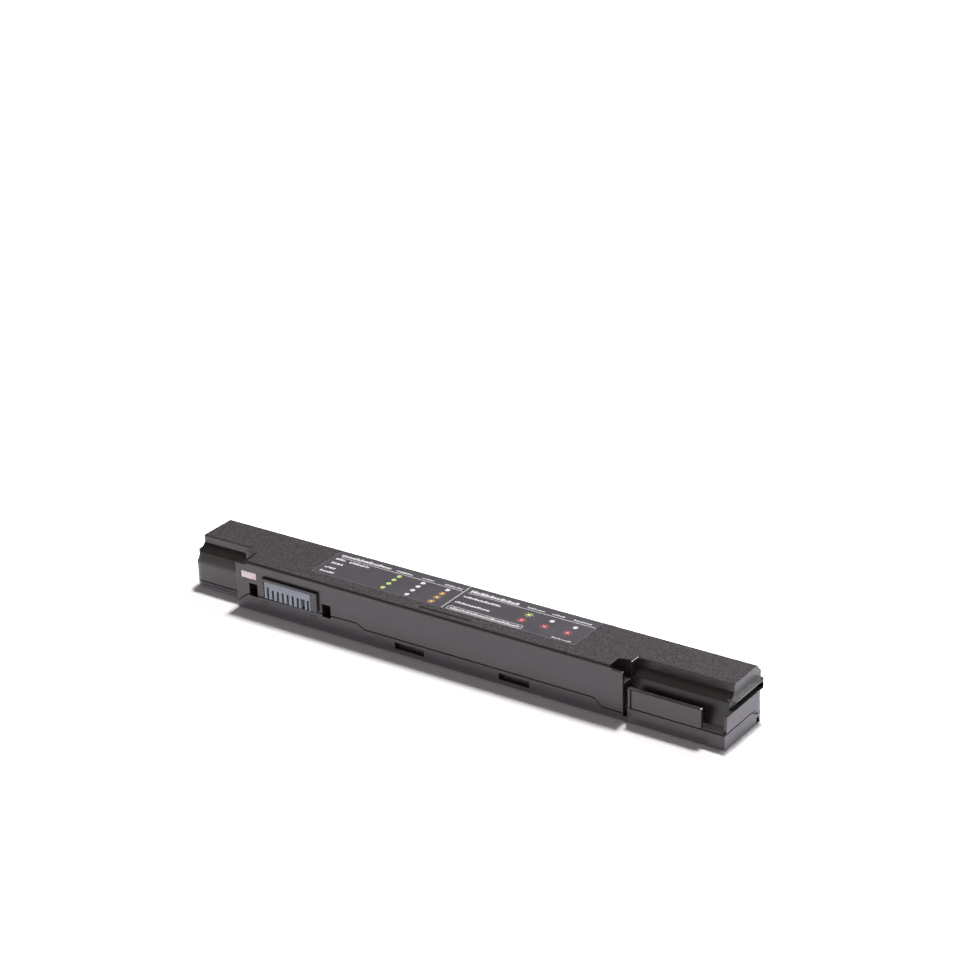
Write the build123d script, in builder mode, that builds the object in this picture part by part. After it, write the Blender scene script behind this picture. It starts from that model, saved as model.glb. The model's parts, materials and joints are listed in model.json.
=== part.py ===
from build123d import *
import os

# Rechargeable battery pack for a portable label printer: a long two-piece moulded
# housing around three round cells in line, with a contact block in its front wall.
# +X runs along the pack, +Y from its front wall to its back, +Z up.
# The origin is under the middle of the pack, on the plane that it rests on.

# Overall sizes of the housing
slab_length = 235.0      # textured top, end to end
end_reach = 2.14         # each end below the top stands out by this much
depth = 29.2             # front wall to back wall
height = 20.7
wall = 1.1
back_bevel_run = 2.7
back_bevel_drop = 3.0
top_band = 3.0           # height of the top's own front edge at both ends
end_setback = 10.5       # the top's front edge at both ends, behind the front wall

# Middle block, whose front wall reaches the full depth
block_start = 23.7       # from the left end of the top
block_stop = 38.5        # from the right end of the top
block_edge = 1.2         # rounding along the top of the front wall

# Slanted front of both end portions
cove_depth = 7.2         # behind the front wall, at the foot of the steep part
cove_drop = 5.9
left_face = 5.4          # upright front face of the left portion
left_face_drop = 9.5
left_keel_radius = 2.3
ledge_depth = 4.2        # ledge at the foot of the right portion's slanted wall
ledge_drop = 14.2

# Corners in plan
left_front_radius = 3.75
back_radius = 5.5
bottom_radius = 0.8
edge_radius = 0.5
end_edge_radius = 0.4    # upright edges at both ends of the middle block
wall_edge_radius = 0.3   # top of the front wall where it is lower
fine_edge = 0.25         # bar, shroud and back of the top

# Guide lips across both ends, with a groove under each
left_lip_top = 5.9
right_lip_top = 5.0
left_groove_top = 7.4
right_groove_top = 5.5
left_groove_bottom = 9.8
right_groove_bottom = 8.2
left_lip_start = 8.2     # behind the front wall
right_lip_start = 7.5
lip_stop = 28.4
lip_corner = 1.5
lip_stop_thickness = 0.6
cheek_depth = 1.2        # front edge of the right end's cheek, behind the front wall
cheek_slant = 0.5        # by which its top stands further back

# Seam between the upper and the lower housing
seam = 0.25              # open shadow line on the outside
lap_height = 1.2         # inner lip of the lower housing
lap_fit = 0.05
seam_left = 17.5         # drops of the seam below the top, from left to right
seam_socket_left = 13.85
seam_socket_right = 12.8
seam_middle = 14.6
seam_dip = 17.5
seam_right = 14.7
seam_back = 16.8
seam_step_start = 19.0   # where the seam starts to drop towards the back wall
seam_step_stop = 22.9
seam_climb = (0.6, 5.3)    # climb beside the left socket, from the block's left end
seam_fall = (57.0, 60.7)   # fall beyond the right socket, from the block's left end
seam_dive = (11.8, 8.5)    # last fall, from the block's right end

# Open corners beside the middle block
left_pocket_width = 5.2
left_pocket_drop = 3.2
left_pocket_depth = 7.6
left_pocket_slant = 0.6
left_web_depth = 7.1     # front of the web that closes the pocket on the left
left_web_reach = 0.3     # beyond the block's left end, at the web's front
left_web_slant = 0.7
right_pocket_width = 5.5
right_pocket_depth = 6.3
right_pocket_drop = 6.0
right_notch_depth = 7.6  # deepest place of the right pocket's back
right_notch_place = 1.3  # from the block's right end
right_post_depth = 6.1   # corner that stands at the block's right end
pocket_wall_drop = 1.33  # the front wall is lower in front of both pockets

# Bar in front of the right portion
bar_gap = 1.8
bar_length = 29.5
bar_thickness = 1.5
bar_drop = 7.0
bar_corner = 0.8
bar_groove = 0.7
bar_groove_depth = 0.5
bar_groove_place = 1.5
slot_drop = 18.4
slot_depth = 2.0

# Locating sockets beside the connector
socket_width = 4.0
socket_height = 5.3
socket_board_gap = 0.9   # between a socket's back wall and the board
socket_drop = 8.8
socket_places = (31.95, 66.8)

# Connector: shroud, contact block and blades
shroud_reach = 1.2
shroud_start = 36.7
shroud_stop = 63.2
shroud_drop = 4.5
shroud_bottom = 12.6
shroud_corner = 0.5
block_left = 38.05
comb_length = 22.0
comb_drop = 5.9
comb_bottom = 12.75
comb_inset = 0.3         # face of the contact block, behind the shroud's face
comb_fit = 0.1
comb_flange = 1.0
comb_flange_thickness = 1.2
contact_pitch = 2.38
contact_count = 9
contact_first = 1.7      # first slot, from the left end of the contact block
contact_slot = 0.95
wide_slot = 1.95
wide_slot_index = 7
slot_top = 8.75
first_slot_top = 8.0
comb_back = 2.3          # solid behind a contact slot
blade_thickness = 0.5
blade_setback = 2.6
blade_height = 2.6

# Latch slots, moulding marks, groove and labels
latch_slot_length = 13.2
latch_slot_height = 2.6
latch_slot_depth = 1.8
latch_slot_drop = 15.95
latch_slot_places = (104.8, 150.9)
mark_radius = 1.4
mark_line = 0.25
mark_depth = 0.12
mark_drop = 16.0
mark_places = (37.6, 60.2)
top_groove_length = 22.8
top_groove_width = 0.6
top_groove_depth = 0.4
top_groove_place = 119.0
top_groove_setback = 3.1
gate_size = 2.1
gate_setback = 23.45
gate_height = 1.3
gate_depth = 0.8
label_start = 55.3
label_length = 117.3
label_setback = 6.5
label_width = 19.9
label_thickness = 0.15
label_sink = 0.05
label_gap = 0.15
sticker_start = 26.6
sticker_length = 7.0
sticker_drop = 4.2
sticker_height = 2.65
sticker_thickness = 0.1

# Cells and what joins them
cell_radius = 9.1
cell_length = 65.0       # over the button
button_radius = 3.0
button_height = 0.6
crimp_place = 2.8        # below the shoulder
crimp_depth = 0.6
crimp_width = 1.2
cell_count = 3
cell_clearance = 0.2
ring_thickness = 0.3
ring_bore = 3.4
ring_radius = 8.6
tab_thickness = 0.2
tab_width = 6.0
tab_height = 8.0
pad_thickness = 0.8
pad_radius = 7.5
stop_rib = 1.1

# Board and what is on it
board_thickness = 1.0
board_gap = 2.3          # room for the leads, between the board and the cells
board_start = 32.6
board_length = 81.4
board_bottom = 2.2
board_height = 15.2
board_fit = 0.1
post_thickness = 1.2
post_places = (40.0, 71.0, 110.0)
rib_thickness = 1.0
rib_places = (60.0, 88.0, 120.0, 146.0, 176.0, 206.0, 226.0)
rib_front = 9.6
rib_clearance = 0.15
chip_taper = 3
thermistor_place = 47.0  # from the board's left end
thermistor_stretch = 1.4
lead_radius = 0.65
lead_fit = 0.02
lead_lowest = 7.6
lead_spacing = 1.6
# Name: row above the lowest lead, index of the cell beside which the lead ends,
# distance of that end from the cell's foot
lead_places = {
    "negative": (1, 0, 9.0),
    "first_link": (3, 1, -6.0),
    "second_link": (2, 1, 2.0),
    "positive": (0, 1, 4.0),
}


def left(distance):
    """X of a point this far from the left end of the top."""
    return -slab_length / 2 + distance


def right(distance):
    """X of a point this far from the right end of the top."""
    return slab_length / 2 - distance


def front(distance):
    """Y of a point this far behind the front wall."""
    return (shroud_reach - depth) / 2 + distance


def drop(distance):
    """Z of a point this far below the top."""
    return height - distance


block_left_x = left(block_start)
block_right_x = right(block_stop)
bar_left_x = block_right_x + bar_gap
cell_y = front(depth - wall - cell_clearance - cell_radius)
cell_z = height / 2
board_setback = depth - wall - cell_clearance - 2 * cell_radius - board_gap - board_thickness
socket_depth = board_setback - wall - socket_board_gap
contact_slot_depth = board_setback + shroud_reach - comb_inset - comb_back

back_points = [
    (front(depth - back_bevel_run), drop(0)),
    (front(depth), drop(back_bevel_drop)),
    (front(depth), 0),
]
cove_points = [
    (front(cove_depth), drop(cove_drop)),
    (front(end_setback), drop(top_band)),
    (front(end_setback), drop(0)),
]
middle_points = [(front(0), 0), (front(0), drop(0)), *back_points]
left_points = [(front(left_face), 0), (front(left_face), drop(left_face_drop)), *cove_points, *back_points]
right_points = [
    (front(0), 0),
    (front(0), drop(ledge_drop)),
    (front(ledge_depth), drop(ledge_drop)),
    *cove_points,
    *back_points,
]


def whole_form(inset):
    """The pack's outer form, or the same form pulled in by inset on every side."""
    left_end_top = drop(left_groove_bottom) - inset
    right_end_top = drop(right_groove_bottom) - inset
    with BuildPart() as envelope:
        with BuildSketch(Plane.XY.offset(inset)):
            with BuildLine():
                Polyline(
                    (left(-end_reach), front(left_face)),
                    (block_left_x, front(left_face)),
                    (block_left_x, front(0)),
                    (right(-end_reach), front(0)),
                    (right(-end_reach), front(depth)),
                    (left(-end_reach), front(depth)),
                    close=True,
                )
            make_face()
            if inset:
                offset(amount=-inset, kind=Kind.INTERSECTION)
            fillet(vertices().group_by(Axis.Y)[-1], back_radius - inset)
            fillet(vertices().group_by(Axis.X)[0].sort_by(Axis.Y)[0], left_front_radius - inset)
        extrude(amount=right_end_top - inset)
        with BuildSketch(Plane.XY.offset(left_end_top)):
            with Locations((left(0), front(depth / 2))):
                Rectangle(4 * end_reach, 2 * depth)
        extrude(amount=height, mode=Mode.SUBTRACT)
        for end_top, side in ((left_end_top, Align.MAX), (right_end_top, Align.MIN)):
            with BuildSketch(Plane.XY.offset(end_top)):
                with Locations((0, front(depth / 2))):
                    Rectangle(slab_length / 2 - inset, 2 * depth, align=(side, Align.CENTER))
            extrude(amount=height - inset - end_top)
    with BuildPart() as block:
        with BuildSketch(Plane.YZ.offset(block_left_x + inset)):
            with BuildLine():
                Polyline(*middle_points, close=True)
            make_face()
            if inset:
                offset(amount=-inset, kind=Kind.INTERSECTION)
            else:
                fillet(vertices().group_by(Axis.Y)[-1].sort_by(Axis.X)[0], block_edge)
                fillet(vertices().group_by(Axis.Y)[0], bottom_radius)
        extrude(amount=block_right_x - block_left_x - 2 * inset)
        if inset == 0:
            for end in (0, -1):
                front_edge = faces().sort_by(Axis.X)[end].edges().filter_by(Axis.Z).sort_by(Axis.Y)[0]
                fillet(front_edge, end_edge_radius)
    with BuildPart() as form:
        with BuildSketch(Plane.YZ.offset(left(-end_reach))):
            with BuildLine():
                Polyline(*left_points, close=True)
            make_face()
            if inset:
                offset(amount=-inset, kind=Kind.INTERSECTION)
            fillet(vertices().group_by(Axis.Y)[0].sort_by(Axis.X)[0], left_keel_radius - inset)
            if inset == 0:
                fillet(vertices().group_by(Axis.Y)[0].sort_by(Axis.X)[-1], bottom_radius)
                fillet(vertices().group_by(Axis.Y)[-1].sort_by(Axis.X)[0], edge_radius)
        extrude(amount=block_start + end_reach + 2 * wall)
        add(block.part)
        with BuildSketch(Plane.YZ.offset(block_right_x - 3 * wall)):
            with BuildLine():
                Polyline(*right_points, close=True)
            make_face()
            if inset:
                offset(amount=-inset, kind=Kind.INTERSECTION)
            else:
                fillet(vertices().group_by(Axis.Y)[0], bottom_radius)
                fillet(vertices().group_by(Axis.Y)[-1].sort_by(Axis.X)[0], edge_radius)
        extrude(amount=block_stop + end_reach + 3 * wall)
        add(envelope.part, mode=Mode.INTERSECT)
        if inset == 0:
            fillet(edges().group_by(Axis.Z)[-1].sort_by(Axis.Y)[-1], fine_edge)
    return form.part


def below_seam(rise):
    """Everything under the stepped seam, with the seam lifted by rise."""
    far = 2 * end_reach
    with BuildPart() as under:
        with BuildSketch(Plane.XZ.offset(-front(-2 * shroud_reach))):
            with BuildLine():
                Polyline(
                    (left(-far), -rise - wall),
                    (left(-far), drop(seam_left) + rise),
                    (block_left_x + seam_climb[0], drop(seam_left) + rise),
                    (block_left_x + seam_climb[1], drop(seam_socket_left) + rise),
                    (block_left_x + seam_fall[0], drop(seam_socket_right) + rise),
                    (block_left_x + seam_fall[1], drop(seam_middle) + rise),
                    (block_right_x - seam_dive[0], drop(seam_middle) + rise),
                    (block_right_x - seam_dive[1], drop(seam_dip) + rise),
                    (block_right_x + bar_gap / 4, drop(seam_dip) + rise),
                    (block_right_x + 3 * bar_gap / 4, drop(seam_right) + rise),
                    (right(-far), drop(seam_right) + rise),
                    (right(-far), -rise - wall),
                    close=True,
                )
            make_face()
        extrude(amount=-(depth + 4 * shroud_reach))
        with BuildSketch(Plane.YZ.offset(left(-far))):
            with BuildLine():
                Polyline(
                    (front(-4 * shroud_reach), -rise - wall),
                    (front(-4 * shroud_reach), drop(seam_socket_right - wall) + rise),
                    (front(seam_step_start), drop(seam_socket_right - wall) + rise),
                    (front(seam_step_stop), drop(seam_back) + rise),
                    (front(depth + 4 * shroud_reach), drop(seam_back) + rise),
                    (front(depth + 4 * shroud_reach), -rise - wall),
                    close=True,
                )
            make_face()
        extrude(amount=slab_length + 2 * far, mode=Mode.INTERSECT)
    return under.part


outer = whole_form(0)
middle = whole_form(wall / 2)
lip_face = whole_form(wall / 2 + lap_fit)
inner = whole_form(wall)

# Cells lie end to end against the right end wall, buttons to the right.
cell_pitch = cell_length + tab_thickness
stack_right = right(wall + pad_thickness + tab_thickness)
cell_starts = [stack_right - (cell_count - k) * cell_pitch + tab_thickness for k in range(cell_count)]
stack_left = cell_starts[0] - tab_thickness - pad_thickness

# Cores: walls that stay solid around pockets and sockets
with BuildPart() as cores:
    with BuildSketch(Plane.XY.offset(drop(left_pocket_drop + wall))):
        with Locations((block_left_x, front(0))):
            Rectangle(left_pocket_width + 2 * wall, end_setback + 2 * wall, align=(Align.MIN, Align.MIN))
    extrude(amount=height)
    with BuildSketch(Plane.XY.offset(drop(right_pocket_drop + wall))):
        with Locations((block_right_x + wall, front(0))):
            Rectangle(
                right_pocket_width + 2 * wall, right_notch_depth + wall, align=(Align.MAX, Align.MIN)
            )
    extrude(amount=height)
    with BuildSketch():
        with Locations((block_right_x - wall, front(0))):
            Rectangle(bar_gap + 2 * wall, slot_depth + wall, align=(Align.MIN, Align.MIN))
    extrude(amount=height)
    with BuildSketch(Plane.XZ.offset(-front(0))):
        for place in socket_places:
            with Locations((left(place), drop(socket_drop + socket_height / 2))):
                Rectangle(socket_width + 2 * wall, socket_height + 2 * wall)
    extrude(amount=-(socket_depth + wall))
    with BuildSketch(Plane.XZ.offset(-front(0))):
        for place in latch_slot_places:
            with Locations((left(place), drop(latch_slot_drop + latch_slot_height / 2))):
                Rectangle(latch_slot_length + 2 * wall, latch_slot_height + 2 * wall)
    extrude(amount=-(latch_slot_depth + wall))
    with BuildSketch(Plane.YZ.offset(stack_left)):
        with Locations((cell_y, cell_z)):
            Rectangle(2 * cell_radius - 2 * wall, height)
    extrude(amount=-stop_rib)

# Ribs that cradle the cells, in the lower and in the upper housing
seam_low = below_seam(-seam)
with BuildPart() as lower_ribs:
    for place in rib_places:
        with BuildSketch(Plane.YZ.offset(left(place))):
            with Locations((front(rib_front), 0)):
                Rectangle(depth - rib_front, height, align=(Align.MIN, Align.MIN))
        extrude(amount=rib_thickness)
    for place in post_places:
        with BuildSketch(Plane.YZ.offset(left(place))):
            with Locations((front(board_setback - board_thickness), 0)):
                Rectangle(3 * board_thickness, height, align=(Align.MIN, Align.MIN))
        extrude(amount=post_thickness)
    add(seam_low, mode=Mode.INTERSECT)

with BuildPart() as upper_ribs:
    for place in rib_places:
        with BuildSketch(Plane.YZ.offset(left(place))):
            with Locations((front(end_setback), cell_z + cell_radius / 2)):
                Rectangle(depth - end_setback, height, align=(Align.MIN, Align.MIN))
        extrude(amount=rib_thickness)
    for place in post_places:
        with BuildSketch(Plane.YZ.offset(left(place))):
            with Locations((front(board_setback - board_thickness), drop(2 * wall + board_thickness))):
                Rectangle(3 * board_thickness, height, align=(Align.MIN, Align.MIN))
        extrude(amount=post_thickness)

# The room inside: the inner form less its cores and ribs
with BuildPart() as cavity:
    add(inner)
    add(cores.part, mode=Mode.SUBTRACT)
    add(lower_ribs.part, mode=Mode.SUBTRACT)
    add(upper_ribs.part, mode=Mode.SUBTRACT)
    with BuildSketch(Plane.YZ.offset(stack_left)):
        with Locations((cell_y, cell_z)):
            Circle(cell_radius + rib_clearance)
    extrude(amount=right(wall) - stack_left)
    with BuildSketch(Plane.XY.offset(board_bottom)):
        with Locations((left(board_start) - board_fit, front(board_setback) - board_fit)):
            Rectangle(
                board_length + 2 * board_fit, board_thickness + 2 * board_fit, align=(Align.MIN, Align.MIN)
            )
    extrude(amount=board_height + board_fit)

# Openings, slots and pockets cut through the outside
with BuildPart() as openings:
    with BuildSketch(Plane.XZ.offset(-front(0))):
        for place in socket_places:
            with Locations((left(place), drop(socket_drop + socket_height / 2))):
                Rectangle(socket_width, socket_height)
    extrude(amount=-socket_depth)
    with BuildSketch(Plane.XZ.offset(-front(0))):
        for place in latch_slot_places:
            with Locations((left(place), drop(latch_slot_drop + latch_slot_height / 2))):
                Rectangle(latch_slot_length, latch_slot_height)
    extrude(amount=-latch_slot_depth)
    with BuildSketch(Plane.XZ.offset(-front(0))):
        with Locations((block_right_x, drop(slot_drop))):
            Rectangle(bar_gap, height, align=(Align.MIN, Align.MIN))
    extrude(amount=-slot_depth)
    with BuildSketch(Plane.XZ.offset(-front(-shroud_reach))):
        with Locations((left(block_left) - comb_fit, drop(comb_bottom + comb_fit))):
            Rectangle(
                comb_length + 2 * comb_fit,
                comb_bottom - comb_drop + 2 * comb_fit,
                align=(Align.MIN, Align.MIN),
            )
    extrude(amount=-(shroud_reach + board_setback))

with BuildPart() as pockets:
    with BuildSketch(Plane.XY.offset(drop(left_pocket_drop))):
        with BuildLine():
            Polyline(
                (block_left_x - end_reach, front(wall)),
                (block_left_x + left_pocket_width, front(wall)),
                (block_left_x + left_pocket_width - left_pocket_slant, front(left_pocket_depth)),
                (block_left_x - left_web_reach, front(left_web_depth)),
                (block_left_x - end_reach, front(left_web_depth)),
                close=True,
            )
        make_face()
    extrude(amount=height)
    with BuildSketch(Plane.XY.offset(drop(pocket_wall_drop))):
        with Locations((block_left_x - end_reach, front(-wall))):
            Rectangle(left_pocket_width + end_reach, 2 * wall, align=(Align.MIN, Align.MIN))
        with Locations((block_right_x + end_reach, front(-wall))):
            Rectangle(right_pocket_width + end_reach, 2 * wall, align=(Align.MAX, Align.MIN))
    extrude(amount=height)
    with BuildSketch(Plane.XY.offset(drop(right_pocket_drop))):
        with BuildLine():
            Polyline(
                (block_right_x + end_reach, front(wall)),
                (block_right_x - right_pocket_width, front(wall)),
                (block_right_x - right_pocket_width, front(right_pocket_depth)),
                (block_right_x - right_notch_place, front(right_notch_depth)),
                (block_right_x, front(right_post_depth)),
                (block_right_x + end_reach, front(right_post_depth)),
                close=True,
            )
        make_face()
    extrude(amount=height)

# Shelf of the upper housing behind the ledge's front edge
with BuildPart() as ledge_plate:
    with BuildSketch(Plane.XY.offset(drop(ledge_drop + wall))):
        with Locations((bar_left_x + wall, front(wall / 2))):
            Rectangle(
                right(0) - bar_left_x - wall, ledge_depth + wall / 2, align=(Align.MIN, Align.MIN)
            )
    extrude(amount=wall)
    add(cavity.part, mode=Mode.SUBTRACT)

# Room that the lower housing leaves for that shelf
with BuildPart() as ledge_room:
    with BuildSketch(Plane.XY.offset(drop(ledge_drop + wall) - lap_fit)):
        with Locations((bar_left_x + wall - lap_fit, front(wall / 2) - lap_fit)):
            Rectangle(
                right(0) - bar_left_x - wall + 2 * lap_fit,
                ledge_depth + wall / 2 + 2 * lap_fit,
                align=(Align.MIN, Align.MIN),
            )
    extrude(amount=wall + 2 * lap_fit)

# Inner lip of the lower housing, and the band that it takes from the upper one
lap_top = below_seam(lap_height)
with BuildPart() as lap_band:
    add(middle)
    add(lap_top, mode=Mode.INTERSECT)

with BuildPart() as lap_lip:
    add(lip_face)
    add(lap_top, mode=Mode.INTERSECT)
    add(cavity.part, mode=Mode.SUBTRACT)
    add(openings.part, mode=Mode.SUBTRACT)

# Guide lips: strips over and under each groove, joined at the back by a stop
with BuildPart() as lips:
    for x, start, top, groove_top, groove_bottom, side in (
        (left(-end_reach), left_lip_start, left_lip_top, left_groove_top, left_groove_bottom, Align.MIN),
        (right(-end_reach), right_lip_start, right_lip_top, right_groove_top, right_groove_bottom, Align.MAX),
    ):
        with BuildSketch(Plane.XY.offset(drop(groove_bottom + fine_edge))):
            with Locations((x, front(start))):
                Rectangle(end_reach + wall, lip_stop - start, align=(side, Align.MIN))
            fillet(vertices().group_by(Axis.X)[0 if side == Align.MIN else -1], lip_corner)
        extrude(amount=groove_bottom + fine_edge - top)
        with BuildSketch(Plane.XY.offset(drop(groove_bottom))):
            with Locations((x, front(0))):
                Rectangle(end_reach, lip_stop - lip_stop_thickness, align=(side, Align.MIN))
        extrude(amount=groove_bottom - groove_top, mode=Mode.SUBTRACT)

# Bar in front of the right portion
with BuildPart() as bar:
    with BuildSketch(Plane.XZ.offset(-front(0))):
        with Locations((bar_left_x, drop(seam_right))):
            Rectangle(bar_length, seam_right - bar_drop, align=(Align.MIN, Align.MIN))
        fillet(vertices().group_by(Axis.Y)[-1].sort_by(Axis.X)[-1], bar_corner)
    extrude(amount=-bar_thickness)
    chamfer(faces().sort_by(Axis.Y)[0].edges().group_by(Axis.Z)[1:], fine_edge)
    with BuildSketch(Plane.XZ.offset(-front(0))):
        with Locations((bar_left_x + bar_groove_place, drop(seam_right))):
            Rectangle(bar_groove, height, align=(Align.CENTER, Align.MIN))
    extrude(amount=-bar_groove_depth, mode=Mode.SUBTRACT)

# Shroud around the connector
with BuildPart() as shroud:
    with BuildSketch(Plane.XZ.offset(-front(0))):
        with Locations((left(shroud_start), drop(shroud_bottom))):
            Rectangle(shroud_stop - shroud_start, shroud_bottom - shroud_drop, align=(Align.MIN, Align.MIN))
        fillet(vertices(), shroud_corner)
    extrude(amount=shroud_reach)
    chamfer(faces().sort_by(Axis.Y)[0].edges(), fine_edge)

# Upper housing
with BuildPart() as upper_housing:
    add(outer)
    with BuildSketch(Plane.YZ.offset(right(-end_reach))):
        with BuildLine():
            Polyline(
                (front(cheek_depth), 0),
                (front(cheek_depth), drop(ledge_drop)),
                (front(cheek_depth + cheek_slant), drop(right_groove_bottom)),
                (front(cove_depth + wall), drop(right_groove_bottom)),
                (front(cove_depth + wall), 0),
                close=True,
            )
        make_face()
    extrude(amount=-wall)
    with BuildSketch(Plane.XY.offset(drop(cove_drop))):
        with BuildLine():
            Polyline(
                (block_left_x - left_web_reach - left_web_slant, front(end_setback)),
                (block_left_x - left_web_reach, front(left_web_depth)),
                (block_left_x + wall, front(left_web_depth)),
                (block_left_x + wall, front(end_setback)),
                close=True,
            )
        make_face()
    extrude(amount=cove_drop)
    add(pockets.part, mode=Mode.SUBTRACT)
    wall_tops = edges().filter_by(Axis.X).filter_by_position(
        Axis.Z, drop(pocket_wall_drop), drop(pocket_wall_drop)
    )
    fillet(wall_tops, wall_edge_radius)
    add(lips.part)
    add(bar.part)
    add(shroud.part)
    add(cavity.part, mode=Mode.SUBTRACT)
    add(openings.part, mode=Mode.SUBTRACT)
    add(below_seam(seam), mode=Mode.SUBTRACT)
    add(lap_band.part, mode=Mode.SUBTRACT)
    add(ledge_plate.part)
    with BuildSketch(Plane.XY.offset(drop(top_groove_depth))):
        with Locations((left(top_groove_place), front(top_groove_setback))):
            SlotOverall(top_groove_length, top_groove_width)
    extrude(amount=height, mode=Mode.SUBTRACT)
    with BuildSketch(Plane.XY.offset(drop(label_sink + label_thickness))):
        with Locations((left(label_start) - label_gap, front(label_setback) - label_gap)):
            Rectangle(
                label_length + 2 * label_gap, label_width + 2 * label_gap, align=(Align.MIN, Align.MIN)
            )
    extrude(amount=height, mode=Mode.SUBTRACT)
upper_housing.part.label = "upper_housing"

# Lower housing
with BuildPart() as lower_housing:
    add(outer)
    add(below_seam(0), mode=Mode.INTERSECT)
    add(cavity.part, mode=Mode.SUBTRACT)
    add(openings.part, mode=Mode.SUBTRACT)
    add(lap_lip.part)
    add(ledge_room.part, mode=Mode.SUBTRACT)
    with BuildSketch(Plane.XZ.offset(-front(0))):
        for place in mark_places:
            with Locations((left(place), drop(mark_drop))):
                Circle(mark_radius)
                Circle(mark_radius - mark_line, mode=Mode.SUBTRACT)
    extrude(amount=-mark_depth, mode=Mode.SUBTRACT)
    with BuildSketch(Plane.YZ.offset(right(-end_reach))):
        with Locations((front(gate_setback), gate_height)):
            Rectangle(gate_size, gate_size)
    extrude(amount=-gate_depth, mode=Mode.SUBTRACT)
lower_housing.part.label = "lower_housing"

# Labels
with BuildPart() as indication_label:
    with BuildSketch(Plane.XY.offset(drop(label_sink + label_thickness))):
        with Locations((left(label_start), front(label_setback))):
            Rectangle(label_length, label_width, align=(Align.MIN, Align.MIN))
    extrude(amount=label_thickness)
indication_label.part.label = "indication_label"

with BuildPart() as moisture_label:
    with BuildSketch(Plane.XZ.offset(-front(0))):
        with Locations((left(sticker_start), drop(sticker_drop + sticker_height))):
            Rectangle(sticker_length, sticker_height, align=(Align.MIN, Align.MIN))
    extrude(amount=sticker_thickness)
moisture_label.part.label = "moisture_label"

# Connector: blades, then the comb-like block that holds them
block_face = front(comb_inset - shroud_reach)
slot_centres = [left(block_left + contact_first + k * contact_pitch) for k in range(contact_count)]
blades = []
for k, x in enumerate(slot_centres, start=1):
    with BuildPart() as blade:
        with BuildSketch(Plane.YZ.offset(x - blade_thickness / 2)):
            with Locations((block_face + blade_setback, drop(comb_bottom) + blade_thickness)):
                Rectangle(
                    front(board_setback) - block_face - blade_setback,
                    blade_height,
                    align=(Align.MIN, Align.MIN),
                )
            fillet(vertices().group_by(Axis.X)[0], blade_height / 4)
        extrude(amount=blade_thickness)
    blade.part.label = f"contact_{k}"
    blades.append(blade.part)

with BuildPart() as connector_block:
    with BuildSketch(Plane.XZ.offset(-block_face)):
        with Locations((left(block_left), drop(comb_bottom))):
            Rectangle(comb_length, comb_bottom - comb_drop, align=(Align.MIN, Align.MIN))
    extrude(amount=block_face - front(board_setback))
    with BuildSketch(Plane.XZ.offset(-front(wall))):
        with Locations((left(block_left) - comb_flange, drop(comb_bottom))):
            Rectangle(
                comb_length + 2 * comb_flange,
                comb_bottom - comb_drop + comb_flange,
                align=(Align.MIN, Align.MIN),
            )
    extrude(amount=-comb_flange_thickness)
    for k, x in enumerate(slot_centres):
        with BuildSketch(Plane.XZ.offset(-block_face)):
            with Locations((x, drop(comb_bottom))):
                Rectangle(
                    wide_slot if k == wide_slot_index else contact_slot,
                    comb_bottom - (slot_top if k else first_slot_top),
                    align=(Align.CENTER, Align.MIN),
                )
        extrude(amount=-contact_slot_depth, mode=Mode.SUBTRACT)
    for blade_part in blades:
        add(blade_part, mode=Mode.SUBTRACT)
connector_block.part.label = "connector_block"

# Protection board and the parts soldered on its front face
board_left_x = left(board_start)
with BuildPart() as protection_board:
    with BuildSketch(Plane.XZ.offset(-front(board_setback))):
        with Locations((board_left_x, board_bottom)):
            Rectangle(board_length, board_height, align=(Align.MIN, Align.MIN))
        fillet(vertices(), edge_radius)
    extrude(amount=-board_thickness)
protection_board.part.label = "protection_board"

# Name: distance along the board, height above the board's foot, length, height, thickness
chip_sizes = {
    "gauge_chip": (49.0, 10.0, 7.8, 4.4, 1.0),
    "protection_chip": (60.0, 10.0, 3.0, 4.9, 0.9),
    "charge_switch": (66.5, 10.0, 5.0, 6.0, 1.1),
    "discharge_switch": (73.5, 10.0, 5.0, 6.0, 1.1),
    "sense_resistor": (62.0, 4.6, 6.3, 3.2, 0.6),
    "board_fuse": (52.0, 4.6, 6.1, 2.7, 1.3),
    "capacitor_1": (43.0, 12.0, 1.6, 0.8, 0.8),
    "capacitor_2": (43.0, 9.6, 1.6, 0.8, 0.8),
    "capacitor_3": (43.0, 7.2, 1.6, 0.8, 0.8),
    "capacitor_4": (43.0, 4.8, 1.6, 0.8, 0.8),
}
chips = []
for name, (along, up, length, tall, thick) in chip_sizes.items():
    with BuildPart() as chip:
        with BuildSketch(Plane.XZ.offset(-front(board_setback))):
            with Locations((board_left_x + along, board_bottom + up)):
                Rectangle(length, tall)
        extrude(amount=thick, taper=chip_taper)
    chip.part.label = name
    chips.append(chip.part)

board_back = front(board_setback + board_thickness)
bead_gap = cell_y - cell_radius - board_back
with BuildPart() as thermistor:
    with BuildSketch(Plane.XZ.offset(-board_back)):
        with Locations((board_left_x + thermistor_place, cell_z)):
            SlotOverall(bead_gap * thermistor_stretch, bead_gap)
    extrude(amount=-(bead_gap - rib_clearance))
thermistor.part.label = "thermistor"

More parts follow.
